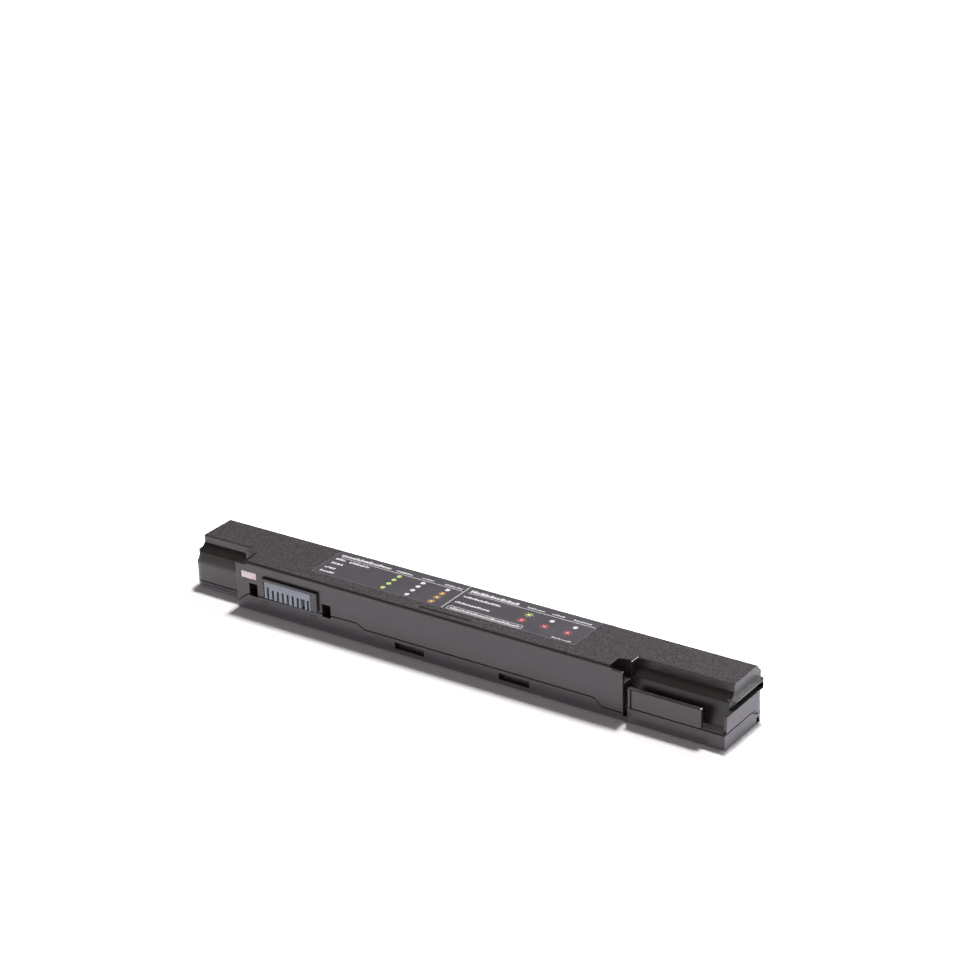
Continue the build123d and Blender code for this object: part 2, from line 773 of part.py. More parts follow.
# Cells, each a sealed can turned about the stack's axis
cells, rings = [], []
for k, start in enumerate(cell_starts, start=1):
    shoulder = cell_length - button_height
    with BuildPart() as cell:
        with BuildSketch(Plane(origin=(start, cell_y, cell_z), x_dir=(1, 0, 0), z_dir=(0, -1, 0))):
            with BuildLine():
                Polyline(
                    (0, 0),
                    (0, cell_radius),
                    (shoulder - crimp_place - crimp_width, cell_radius),
                    (shoulder - crimp_place - crimp_width / 2, cell_radius - crimp_depth),
                    (shoulder - crimp_place, cell_radius),
                    (shoulder - edge_radius, cell_radius),
                    (shoulder, cell_radius - edge_radius),
                    (shoulder, button_radius),
                    (cell_length, button_radius),
                    (cell_length, 0),
                    close=True,
                )
            make_face()
        revolve(axis=Axis((start, cell_y, cell_z), (1, 0, 0)))
    cell.part.label = f"cell_{k}"
    cells.append(cell.part)
    with BuildPart() as ring:
        with BuildSketch(Plane.YZ.offset(start + shoulder)):
            with Locations((cell_y, cell_z)):
                Circle(ring_radius)
                Circle(ring_bore, mode=Mode.SUBTRACT)
        extrude(amount=ring_thickness)
    ring.part.label = f"insulating_ring_{k}"
    rings.append(ring.part)

# Nickel tabs between the cells, and the leads from them to the board
lead_y = board_back + lead_radius + lead_fit
tab_places = [start - tab_thickness for start in cell_starts] + [stack_right]
tabs, leads = [], []
for tab_x, (name, (row, end_cell, end_offset)) in zip(tab_places, lead_places.items()):
    lead_z = lead_lowest + row * lead_spacing
    lead_end = cell_starts[end_cell] + end_offset
    with BuildPart() as tab:
        with BuildSketch(Plane.YZ.offset(tab_x)):
            with Locations((cell_y, cell_z)):
                Rectangle(tab_width, tab_height)
            with Locations((lead_y - lead_radius, lead_z)):
                Rectangle(cell_y - lead_y + lead_radius, tab_width / 2, align=(Align.MIN, Align.CENTER))
        extrude(amount=tab_thickness)
    tab.part.label = f"{name}_tab"
    tabs.append(tab.part)
    lead_start = tab_x + tab_thickness if lead_end > tab_x + tab_thickness else tab_x
    with BuildPart() as lead:
        with BuildSketch(Plane.YZ.offset(lead_start)):
            with Locations((lead_y, lead_z)):
                Circle(lead_radius)
        extrude(amount=lead_end - lead_start)
    lead.part.label = f"{name}_lead"
    leads.append(lead.part)

# Foam pads at both ends of the row of cells
pads = []
for name, x in (("left", stack_left), ("right", right(wall + pad_thickness))):
    with BuildPart() as pad:
        with BuildSketch(Plane.YZ.offset(x)):
            with Locations((cell_y, cell_z)):
                Circle(pad_radius)
        extrude(amount=pad_thickness)
    pad.part.label = f"{name}_pad"
    pads.append(pad.part)

pieces = [
    upper_housing.part,
    lower_housing.part,
    indication_label.part,
    moisture_label.part,
    connector_block.part,
    protection_board.part,
    thermistor.part,
    *blades,
    *chips,
    *cells,
    *rings,
    *tabs,
    *leads,
    *pads,
]
os.makedirs("parts", exist_ok=True)
for piece in pieces:
    export_step(piece, f"parts/{piece.label}.step")
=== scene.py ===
import json
import math
import random

import bmesh
import bpy
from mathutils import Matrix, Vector


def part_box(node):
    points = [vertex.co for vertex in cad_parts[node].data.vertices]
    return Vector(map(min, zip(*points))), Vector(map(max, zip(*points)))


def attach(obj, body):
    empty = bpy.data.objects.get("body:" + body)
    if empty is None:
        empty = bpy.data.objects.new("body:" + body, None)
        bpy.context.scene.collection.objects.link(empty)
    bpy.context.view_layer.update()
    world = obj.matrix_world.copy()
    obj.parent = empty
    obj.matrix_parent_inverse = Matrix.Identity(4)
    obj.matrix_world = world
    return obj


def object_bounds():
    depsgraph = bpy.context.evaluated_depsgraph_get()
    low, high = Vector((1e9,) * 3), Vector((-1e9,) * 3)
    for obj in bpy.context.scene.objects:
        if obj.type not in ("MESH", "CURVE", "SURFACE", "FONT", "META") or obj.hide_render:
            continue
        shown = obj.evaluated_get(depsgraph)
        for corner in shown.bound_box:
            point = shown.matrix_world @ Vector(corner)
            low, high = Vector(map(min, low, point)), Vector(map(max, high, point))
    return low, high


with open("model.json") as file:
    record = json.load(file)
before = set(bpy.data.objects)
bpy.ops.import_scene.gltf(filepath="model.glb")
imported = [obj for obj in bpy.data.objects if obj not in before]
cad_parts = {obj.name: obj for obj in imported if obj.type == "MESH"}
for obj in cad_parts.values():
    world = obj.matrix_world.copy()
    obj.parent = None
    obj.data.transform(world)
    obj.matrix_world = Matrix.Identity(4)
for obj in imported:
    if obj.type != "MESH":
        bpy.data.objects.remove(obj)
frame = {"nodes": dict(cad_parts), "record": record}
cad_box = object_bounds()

MM = 0.001

# Camera: it looks down along the pack from its connector side and its right end.
CAMERA_PLACE = (0.50027, -0.69727, 0.45125)
CAMERA_TURN = (65.9703, 1.698, 34.2672)   # degrees about X, Y and Z
CAMERA_LENS = 98.23                       # mm, on a sensor 36 mm wide

# Studio
FLOOR_SIZE = 6.0
FLOOR_COLOUR = (0.90, 0.88, 0.89)
FLOOR_DROP = 0.03          # mm by which the floor lies below the pack, so that no two faces coincide
SHADOW_WIDTH = 8.0         # mm of floor in front of the pack that keep their plain colour
FLOOR_FADE = 20.0          # mm beyond that in which the camera sees the floor turn plain white
# Painted reflection: the floor glows for glossy rays only, so the plastic mirrors a shaped glow
MIRRORED_GLOW_FADE = 8.0           # mm in which the floor's painted reflection, a glow seen only in the plastic's mirroring, comes to full strength,
MIRRORED_GLOW_LEAST = 0.55         # from this share of it
MIRRORED_GLOW_COLOUR = (0.67, 0.65, 0.80)
MIRRORED_GLOW_RIGHT = 1.4          # times as strong beyond the right end,
MIRRORED_GLOW_BLEND = 2.0          # mm in which it gets so
KEY_PLACE = (-0.08, 0.60, 1.65)
KEY_SIZE = 0.26
KEY_POWER = 32.0
SPARK_PLACE = (0.73, 0.87, 1.13)   # a soft box that only mirrors in small roundings
SPARK_SIZE = 0.7
SPARK_POWER = 68.0
SKY_DARK = (0.045, 0.042, 0.04)
SKY_FRONT = (1.1, 1.06, 1.08)     # low in front of the pack
SKY_ABOVE = (0.20, 0.185, 0.19)

# The pack's own sizes that the printing and the materials refer to, in mm
SLAB_LENGTH = 235.0
DEPTH = 30.4
TEXTURE_BAND = 0.12        # only what lies this near to the top's plane is textured
PLASTIC_IOR = 1.62
SLOT_SHADE_REACH = 2.0           # the contact block's slots get painted shade, going dark over about this depth
CREVICE_SHADE_REACH = 0.7              # painted shade: seams and slots narrower than about this mirror nothing
TOP_SHINE = 0.3            # share of the plastic's gloss that its grained top keeps
EDGE_RADIUS = 0.22         # edges of the mouldings are seen as rounded by this much,
CREASE_RADIUS = 3.0        # and the crease in the left portion's front by this much,
CREASE_STOP = -94.0        # left of this place
CREASE_HEIGHT = (7.5, 14.0)   # and between these heights,
CREASE_BLEND = (1.0, 0.5)  # mm in which the rounding changes, along the pack and in height

# Seam between the two housings as (x, z) along the front and (y, z) across the right end
SEAM_FRONT = (
    (-120, 3.2), (-93.2, 3.2), (-88.5, 6.85), (-36.8, 7.9), (-33.1, 6.1), (67.2, 6.1), (70.5, 3.2),
    (79.45, 3.2), (80.35, 6.0), (120, 6.0),
)
SEAM_END = ((-16, 6.0), (5.0, 6.0), (8.9, 3.9), (16, 3.9))
SEAM_MIDDLE = 0.125        # above those heights
SEAM_SHADE = (0.16, 0.34)  # painted shade: fully dark up to the first distance from its middle, clear from the second
HEIGHT = 20.7

# Printing on the chart label, in mm. x runs from the left end of the slab, y back from the front wall.
FRONT_WALL = -14.0
INK_THICKNESS = 0.02
BORDER_WIDTH = 0.22
BORDER_INSET = 0.1
BORDER_CORNER = 0.3
RULE_WIDTH = 0.34
RULE_Y = 21.45
RULES = ((58.4, 114.2), (116.9, 172.4))
DIVIDER_X = 115.05
DIVIDER_SPAN = (6.75, 25.8)
DIVIDER_WIDTH = 0.42
DOT_RADIUS = 0.98
GREEN_DOTS = [(87.0, y) for y in (9.0, 12.7, 16.2, 19.5)]
WHITE_DOTS = [(98.0, y) for y in (9.0, 12.7, 16.2, 19.5)] + [(109.07, 19.4), (155.9, 18.1), (165.8, 18.1)]
ORANGE_BURSTS = [(109.07, y) for y in (8.9, 12.6, 16.1)]
RED_BURSTS = [(x, 13.3) for x in (145.85, 155.7, 165.5)]
GREEN_BURSTS = [(146.0, 18.1)]
BURSTS = (   # name, places, reach of the rays, colours of rays and core
    ("green", GREEN_BURSTS, 1.75, (0.58, 0.78, 0.20), (0.74, 0.90, 0.42)),
    ("orange", ORANGE_BURSTS, 1.62, (0.80, 0.36, 0.05), (0.96, 0.76, 0.34)),
    ("red", RED_BURSTS, 1.9, (0.78, 0.13, 0.15), (0.94, 0.34, 0.33)),
)
BURST_RAYS = 8
BURST_RAY_WIDTH = 0.34
BURST_RAY_TAPER = 0.6
BURST_INNER = 0.7
BURST_CORE = 0.58
BURST_CORE_SIDES = 16

# Rows of bare blocks where the chart has words: start x, end x, middle y, block height
WORD_ROWS = (
    (57.7, 80.6, 23.3, 1.75),
    (57.3, 62.1, 19.8, 1.3),
    (63.7, 73.3, 19.8, 1.3),
    (57.8, 62.9, 16.3, 1.3),
    (57.6, 62.4, 12.3, 1.3),
    (57.8, 64.5, 9.1, 1.3),
    (83.6, 91.2, 22.9, 0.95),
    (95.3, 100.5, 22.9, 0.95),
    (105.7, 113.4, 22.9, 0.95),
    (117.2, 138.3, 23.1, 1.75),
    (117.2, 133.3, 18.4, 1.3),
    (116.9, 132.2, 13.3, 1.3),
    (142.2, 150.0, 23.0, 0.95),
    (153.0, 158.6, 23.0, 0.95),
    (162.1, 169.6, 23.0, 0.95),
    (162.4, 170.8, 7.9, 0.8),
)
WORD_BLOCKS = (0.35, 1.0)     # shortest and longest block
WORD_GAP = 0.24
WORD_LIFTS = (0.72, 1.0)      # block heights, as shares of the row's height
NOTE_BOX = (116.7, 7.0, 149.3, 9.75)
NOTE_CORNER = 0.8
NOTE_LINE = 0.3
NOTE_ROW = (117.9, 148.2, 8.38, 1.25)

random.seed(7)


def new_material(name):
    """A material and its Principled shader."""
    material = bpy.data.materials.new(name)
    material.use_nodes = True
    shader = material.node_tree.nodes["Principled BSDF"]
    return material, shader


def add_node(material, kind, **values):
    """Adds a node and sets its properties, or its inputs by name."""
    node = material.node_tree.nodes.new(kind)
    for name, value in values.items():
        if hasattr(node, name):
            setattr(node, name, value)
        else:
            node.inputs[name.replace("_", " ")].default_value = value
    return node


def link(material, source, target):
    material.node_tree.links.new(source, target)


def computed(material, operation, first, second=None):
    """The result of a Math node."""
    node = add_node(material, "ShaderNodeMath", operation=operation)
    link(material, first, node.inputs[0])
    if second:
        link(material, second, node.inputs[1])
    return node.outputs["Value"]


def ramp(material, source, stops):
    """A colour ramp with these (place, colour) stops behind a value."""
    node = add_node(material, "ShaderNodeValToRGB")
    link(material, source, node.inputs["Fac"])
    first, last = node.color_ramp.elements[0], node.color_ramp.elements[-1]
    first.position, first.color = stops[0][0], (*stops[0][1], 1)
    last.position, last.color = stops[-1][0], (*stops[-1][1], 1)
    for place, colour in stops[1:-1]:
        node.color_ramp.elements.new(place).color = (*colour, 1)
    return node.outputs["Color"]


def noise(material, size_mm, detail=2.0, rough=0.5):
    """Noise over the object's own coordinates, with features about this large."""
    place = add_node(material, "ShaderNodeTexCoord")
    node = add_node(material, "ShaderNodeTexNoise")
    node.inputs["Scale"].default_value = 1 / (size_mm * MM)
    node.inputs["Detail"].default_value = detail
    node.inputs["Roughness"].default_value = rough
    link(material, place.outputs["Object"], node.inputs["Vector"])
    return node.outputs["Fac"]


def map_range(material, source, low, high, to_low, to_high):
    """Turns low..high into to_low..to_high, and keeps to these ends."""
    node = add_node(material, "ShaderNodeMapRange")
    link(material, source, node.inputs["Value"])
    for name, value in (("From Min", low), ("From Max", high), ("To Min", to_low), ("To Max", to_high)):
        node.inputs[name].default_value = value
    return node.outputs["Result"]


def bump(material, shader, height, depth_mm, edge_radius=None):
    """Relief of this depth, over edges that are seen as rounded where a radius is given."""
    node = add_node(material, "ShaderNodeBump")
    node.inputs["Distance"].default_value = depth_mm * MM
    link(material, height, node.inputs["Height"])
    if edge_radius:
        soft = add_node(material, "ShaderNodeBevel", samples=6)
        link(material, edge_radius, soft.inputs["Radius"])
        link(material, soft.outputs["Normal"], node.inputs["Normal"])
    link(material, node.outputs["Normal"], shader.inputs["Normal"])


def mixed(material, kind, factor, first, second):
    """Mixes two colours or two values by a factor."""
    node = add_node(material, "ShaderNodeMix")
    node.data_type = kind
    ending = {"RGBA": "Color", "FLOAT": "Float"}[kind]
    by_id = {s.identifier: s for s in (*node.inputs, *node.outputs)}
    link(material, factor, by_id["Factor_Float"])
    link(material, first, by_id[f"A_{ending}"])
    link(material, second, by_id[f"B_{ending}"])
    return by_id[f"Result_{ending}"]


def moulded_plastic(name, dark, light, roughness, grain_mm=0.5, grain_depth=0.0015):
    """Plain moulded plastic: cloudy colour, uneven gloss and a very fine skin."""
    material, shader = new_material(name)
    cloud = noise(material, 14.0, 4.0, 0.55)
    link(material, ramp(material, cloud, ((0.35, dark), (0.65, light))), shader.inputs["Base Color"])
    smear = noise(material, 5.0, 5.0, 0.6)
    low, high = roughness
    link(material, map_range(material, smear, 0.3, 0.7, low, high), shader.inputs["Roughness"])
    bump(material, shader, noise(material, grain_mm, 3.0, 0.6), grain_depth)
    return material, shader


def openness(material, reach_mm):
    """1 on open faces, less where other faces stand within this reach; the mask for painted shade."""
    node = add_node(material, "ShaderNodeAmbientOcclusion", samples=6)
    node.inputs["Distance"].default_value = reach_mm * MM
    return node.outputs["AO"]


def comb_material(name):
    """Pale grey moulding whose slots go dark far inside, as painted shade."""
    material, shader = moulded_plastic(name, (0.27, 0.30, 0.35), (0.34, 0.37, 0.43), (0.38, 0.5))
    pale = shader.inputs["Base Color"].links[0].from_socket
    # painted shade: a near-black colour mixed in where other faces stand near, inside the slots
    slot_shade = add_node(material, "ShaderNodeRGB")
    slot_shade.outputs["Color"].default_value = (0.035, 0.03, 0.028, 1)
    light = map_range(material, openness(material, SLOT_SHADE_REACH), 0.25, 0.75, 0, 1)
    link(material, mixed(material, "RGBA", light, slot_shade.outputs["Color"], pale), shader.inputs["Base Color"])
    return material


def edge_radius(material, place):
    """The mouldings' fine rounding, and a wide one at the crease in the left portion's front."""
    along, up = CREASE_BLEND
    low, high = CREASE_HEIGHT
    crease = map_range(material, place.outputs["X"], (CREASE_STOP - along) * MM, CREASE_STOP * MM, 1, 0)
    for near, far in ((low - up, low), (high + up, high)):
        share = map_range(material, place.outputs["Z"], near * MM, far * MM, 0, 1)
        crease = computed(material, "MULTIPLY", crease, share)
    return map_range(material, crease, 0, 1, EDGE_RADIUS * MM, CREASE_RADIUS * MM)


def seam_height(material, along, points):
    """Height of the seam's middle in metres, read off these points."""
    first, last = points[0][0], points[-1][0]
    curve = add_node(material, "ShaderNodeFloatCurve")
    line = curve.mapping.curves[0]
    for place, height in points[1:-1]:
        line.points.new((place - first) / (last - first), height / HEIGHT)
    line.points[0].location = (0, points[0][1] / HEIGHT)
    line.points[-1].location = (1, points[-1][1] / HEIGHT)
    for point in line.points:
        point.handle_type = "VECTOR"
    curve.mapping.update()
    link(material, map_range(material, along, first * MM, last * MM, 0, 1), curve.inputs["Value"])
    return map_range(material, curve.outputs["Value"], 0, 1, SEAM_MIDDLE * MM, (HEIGHT + SEAM_MIDDLE) * MM)


def seam_unshaded(material, place, facing):
    """Painted shade along the seam: 0 in the seam and along its rims, 1 elsewhere."""
    on_end = map_range(material, facing.outputs["X"], 0.5, 0.6, 0, 1)
    front = seam_height(material, place.outputs["X"], SEAM_FRONT)
    end = seam_height(material, place.outputs["Y"], SEAM_END)
    seam = mixed(material, "FLOAT", on_end, front, end)
    distance = computed(material, "ABSOLUTE", computed(material, "SUBTRACT", place.outputs["Z"], seam))
    near, far = (d * MM for d in SEAM_SHADE)
    clear = map_range(material, distance, near, far, 0, 1)
    behind = map_range(material, facing.outputs["Y"], 0.2, 0.4, 0, 1)
    return computed(material, "MAXIMUM", clear, behind)


def housing_material(name, top_z):
    """Glossy black plastic, with a spark-eroded grain on the top's plane only, and painted shade: no
    reflection in crevices and along the seam.
    """
    material, shader = new_material(name)
    geometry = add_node(material, "ShaderNodeNewGeometry")
    place = add_node(material, "ShaderNodeSeparateXYZ")
    link(material, geometry.outputs["Position"], place.inputs["Vector"])
    facing = add_node(material, "ShaderNodeSeparateXYZ")
    link(material, geometry.outputs["Normal"], facing.inputs["Vector"])
    band = TEXTURE_BAND * MM
    near_top = map_range(material, place.outputs["Z"], top_z - band, top_z - 0.3 * band, 0, 1)
    upward = map_range(material, facing.outputs["Z"], 0.9, 0.97, 0, 1)
    top = computed(material, "MULTIPLY", near_top, upward)

    cloud = noise(material, 18.0, 4.0, 0.55)
    gloss_colour = ramp(material, cloud, ((0.35, (0.0175, 0.0120, 0.0105)), (0.65, (0.0200, 0.0140, 0.0125))))
    grain = noise(material, 0.55, 3.0, 0.65)
    grain_colour = ramp(material, grain, (
        (0.34, (0.016, 0.012, 0.014)), (0.5, (0.044, 0.036, 0.041)), (0.66, (0.094, 0.079, 0.089)),
    ))
    link(material, mixed(material, "RGBA", top, gloss_colour, grain_colour), shader.inputs["Base Color"])

    smear = map_range(material, noise(material, 6.0, 5.0, 0.6), 0.3, 0.7, 0.28, 0.36)
    top_rough = map_range(material, grain, 0.3, 0.7, 0.8, 0.68)
    link(material, mixed(material, "FLOAT", top, smear, top_rough), shader.inputs["Roughness"])

    skin = map_range(material, noise(material, 0.9, 3.0, 0.5), 0, 1, 0, 0.012)
    relief = mixed(material, "FLOAT", top, skin, grain)
    bump(material, shader, relief, 0.09, edge_radius(material, place))
    # painted shade: the gloss is taken out in crevices and along the seam
    gloss_with_painted_shade = map_range(material, openness(material, CREVICE_SHADE_REACH), 0.25, 0.7, 0, 0.5)
    for share in (map_range(material, top, 0, 1, 1, TOP_SHINE), seam_unshaded(material, place, facing)):
        gloss_with_painted_shade = computed(material, "MULTIPLY", gloss_with_painted_shade, share)
    link(material, gloss_with_painted_shade, shader.inputs["Specular IOR Level"])
    shader.inputs["IOR"].default_value = PLASTIC_IOR
    return material


def film_material(name):
    """Printed polyester film: smooth, satin, a little blue."""
    material, shader = moulded_plastic(
        name, (0.074, 0.067, 0.080), (0.084, 0.077, 0.091), (0.34, 0.42), 1.6, 0.001
    )
    shader.inputs["Coat Weight"].default_value = 0.15
    shader.inputs["Coat Roughness"].default_value = 0.3
    return material


def ink_material(name, colour, roughness=0.5):
    """Screen-printed ink: one colour with slight thin places."""
    material, shader = new_material(name)
    thin = tuple(c * 0.86 for c in colour)
    link(material, ramp(material, noise(material, 0.5, 3.0, 0.6), ((0.3, thin), (0.55, colour))),
         shader.inputs["Base Color"])
    link(material, map_range(material, noise(material, 0.8), 0.3, 0.7, roughness - 0.05, roughness + 0.05),
         shader.inputs["Roughness"])
    return material


def sticker_material(name):
    """White indicator paper with a faint pink print."""
    material, shader = new_material(name)
    place = add_node(material, "ShaderNodeTexCoord")
    wave = add_node(material, "ShaderNodeTexVoronoi", feature="F1")
    wave.inputs["Scale"].default_value = 1 / (1.1 * MM)
    link(material, place.outputs["Object"], wave.inputs["Vector"])
    colour = ramp(material, wave.outputs["Distance"],
                  ((0.18, (0.92, 0.55, 0.60)), (0.42, (0.95, 0.74, 0.78)), (0.62, (0.96, 0.88, 0.90))))
    link(material, colour, shader.inputs["Base Color"])
    link(material, map_range(material, noise(material, 0.4), 0.3, 0.7, 0.55, 0.7), shader.inputs["Roughness"])
    bump(material, shader, noise(material, 0.25, 3.0), 0.006)
    return material


def metal_material(name, colour, roughness, streak_mm=0.25):
    """Plated or rolled metal with fine lengthwise streaks."""
    material, shader = new_material(name)
    place = add_node(material, "ShaderNodeTexCoord")
    stretch = add_node(material, "ShaderNodeMapping")
    stretch.inputs["Scale"].default_value = (1, 12, 1)
    link(material, place.outputs["Object"], stretch.inputs["Vector"])
    streak = add_node(material, "ShaderNodeTexNoise")
    streak.inputs["Scale"].default_value = 1 / (streak_mm * 12 * MM)
    link(material, stretch.outputs["Vector"], streak.inputs["Vector"])
    dull = tuple(c * 0.8 for c in colour)
    streaks = streak.outputs["Fac"]
    link(material, ramp(material, streaks, ((0.3, dull), (0.7, colour))), shader.inputs["Base Color"])
    link(material, map_range(material, streaks, 0.3, 0.7, roughness, roughness + 0.15),
         shader.inputs["Roughness"])
    shader.inputs["Metallic"].default_value = 1.0
    return material


def board_material(name):
    """Green solder mask over a weave, with darker clear areas."""
    material, shader = new_material(name)
    place = add_node(material, "ShaderNodeTexCoord")
    tracks = add_node(material, "ShaderNodeTexBrick")
    tracks.inputs["Scale"].default_value = 1 / (6.0 * MM)
    tracks.inputs["Mortar Size"].default_value = 0.03
    tracks.inputs["Color1"].default_value = (0.012, 0.12, 0.05, 1)
    tracks.inputs["Color2"].default_value = (0.016, 0.15, 0.065, 1)
    tracks.inputs["Mortar"].default_value = (0.008, 0.07, 0.03, 1)
    turn = add_node(material, "ShaderNodeMapping")
    turn.inputs["Rotation"].default_value = (math.radians(90), 0, 0)
    link(material, place.outputs["Object"], turn.inputs["Vector"])
    link(material, turn.outputs["Vector"], tracks.inputs["Vector"])
    link(material, tracks.outputs["Color"], shader.inputs["Base Color"])
    link(material, map_range(material, noise(material, 2.0), 0.3, 0.7, 0.28, 0.4), shader.inputs["Roughness"])
    bump(material, shader, tracks.outputs["Fac"], 0.02)
    return material


def label_point(x, y, z):
    """A point of the chart label, from mm along the slab and behind the front wall, in metres."""
    return Vector(((x - SLAB_LENGTH / 2) * MM, (y + FRONT_WALL) * MM, z))


class Ink:
    """Collects flat printed shapes and makes one thin closed mesh of them."""

    def __init__(self, z):
        self.bm = bmesh.new()
        self.z = z

    def outline(self, points):
        """A filled shape with this outline, anticlockwise seen from above."""
        low = [self.bm.verts.new(label_point(x, y, self.z)) for x, y in points]
        high = [self.bm.verts.new(label_point(x, y, self.z + INK_THICKNESS * MM)) for x, y in points]
        self.bm.faces.new(high)
        self.bm.faces.new(low[::-1])
        for k in range(len(points)):
            n = (k + 1) % len(points)
            self.bm.faces.new((low[k], low[n], high[n], high[k]))

    def block(self, x0, y0, x1, y1):
        self.outline(((x0, y0), (x1, y0), (x1, y1), (x0, y1)))

    def dot(self, x, y, radius, sides=28):
        self.outline([
            (x + radius * math.cos(2 * math.pi * k / sides), y + radius * math.sin(2 * math.pi * k / sides))
            for k in range(sides)
        ])

    def rays(self, x, y, reach):
        """Short rays around a lit lamp's dot."""
        for k in range(BURST_RAYS):
            angle = 2 * math.pi * k / BURST_RAYS
            along = Vector((math.cos(angle), math.sin(angle)))
            across = Vector((-along.y, along.x)) * BURST_RAY_WIDTH / 2
            middle = Vector((x, y))
            inner, outer = middle + along * BURST_INNER, middle + along * reach
            tip = across * BURST_RAY_TAPER
            self.outline([tuple(p) for p in (inner - across, outer - tip, outer + tip, inner + across)])

    def words(self, x0, x1, y, tall):
        """A row of bare blocks of uneven length and height, which stand where words would be."""
        x = x0
        while x < x1 - WORD_BLOCKS[0]:
            length = min(random.uniform(*WORD_BLOCKS) * tall, x1 - x)
            high = tall * random.choice(WORD_LIFTS)
            self.block(x, y - tall / 2, x + length, y - tall / 2 + high)
            x += length + WORD_GAP

    def frame_line(self, x0, y0, x1, y1, corner, width, steps=6):
        """A closed line around a rectangle with rounded corners."""
        def ring(inset):
            r = max(corner - inset, 0.0)
            points = []
            for cx, cy, start in ((x1 - corner, y1 - corner, 0), (x0 + corner, y1 - corner, 90),
                                  (x0 + corner, y0 + corner, 180), (x1 - corner, y0 + corner, 270)):
                for k in range(steps + 1):
                    a = math.radians(start + 90 * k / steps)
                    points.append((cx + r * math.cos(a), cy + r * math.sin(a)))
            return points
        outer, inner = ring(0), ring(width)
        count = len(outer)
        verts = {}
        for name, ring_points in (("o", outer), ("i", inner)):
            for side, z in (("l", self.z), ("h", self.z + INK_THICKNESS * MM)):
                verts[name + side] = [self.bm.verts.new(label_point(x, y, z)) for x, y in ring_points]
        for k in range(count):
            n = (k + 1) % count
            self.bm.faces.new((verts["oh"][k], verts["oh"][n], verts["ih"][n], verts["ih"][k]))
            self.bm.faces.new((verts["il"][k], verts["il"][n], verts["ol"][n], verts["ol"][k]))
            self.bm.faces.new((verts["ol"][k], verts["ol"][n], verts["oh"][n], verts["oh"][k]))
            self.bm.faces.new((verts["ih"][k], verts["ih"][n], verts["il"][n], verts["il"][k]))

    def finish(self, name, material):
        bmesh.ops.recalc_face_normals(self.bm, faces=self.bm.faces)
        mesh = bpy.data.meshes.new(name)
        self.bm.to_mesh(mesh)
        self.bm.free()
        piece = bpy.data.objects.new(name, mesh)
        bpy.context.scene.collection.objects.link(piece)
        mesh.materials.append(material)
        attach(piece, "root")
        return piece


def print_chart():
    """All that is printed on the chart label, one piece for each ink."""
    low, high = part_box("indication_label")
    z = high[2]
    left, right = (v / MM + SLAB_LENGTH / 2 for v in (low[0], high[0]))
    near, far = (v / MM - FRONT_WALL for v in (low[1], high[1]))

    border = Ink(z)
    border.frame_line(left + BORDER_INSET, near + BORDER_INSET, right - BORDER_INSET, far - BORDER_INSET,
                      BORDER_CORNER, BORDER_WIDTH)
    border.finish("chart_border", ink_material("grey_ink", (0.16, 0.155, 0.16)))

    rules = Ink(z)
    for x0, x1 in RULES:
        rules.block(x0, RULE_Y - RULE_WIDTH / 2, x1, RULE_Y + RULE_WIDTH / 2)
    front, back = DIVIDER_SPAN
    rules.block(DIVIDER_X - DIVIDER_WIDTH / 2, front, DIVIDER_X + DIVIDER_WIDTH / 2, back)
    rules.frame_line(*NOTE_BOX, NOTE_CORNER, NOTE_LINE)
    rules.finish("chart_rules", ink_material("white_line_ink", (0.62, 0.61, 0.62)))

    rows = Ink(z)
    for row in WORD_ROWS:
        rows.words(*row)
    rows.words(*NOTE_ROW)
    rows.finish("chart_rows", ink_material("white_row_ink", (0.74, 0.73, 0.74)))

    for name, places, colour in (
        ("white", WHITE_DOTS, (0.76, 0.77, 0.82)),
        ("green", GREEN_DOTS, (0.52, 0.74, 0.20)),
    ):
        dots = Ink(z)
        for place in places:
            dots.dot(*place, DOT_RADIUS)
        dots.finish(f"{name}_dots", ink_material(f"{name}_dot_ink", colour))

    for name, places, reach, ray_colour, core_colour in BURSTS:
        rays, cores = Ink(z), Ink(z)
        for place in places:
            rays.rays(*place, reach)
            cores.dot(*place, BURST_CORE, BURST_CORE_SIDES)
        rays.finish(f"{name}_rays", ink_material(f"{name}_ray_ink", ray_colour))
        cores.finish(f"{name}_cores", ink_material(f"{name}_core_ink", core_colour))


def dress(node_name, material):
    mesh = frame["nodes"][node_name].data
    mesh.materials.clear()
    mesh.materials.append(material)


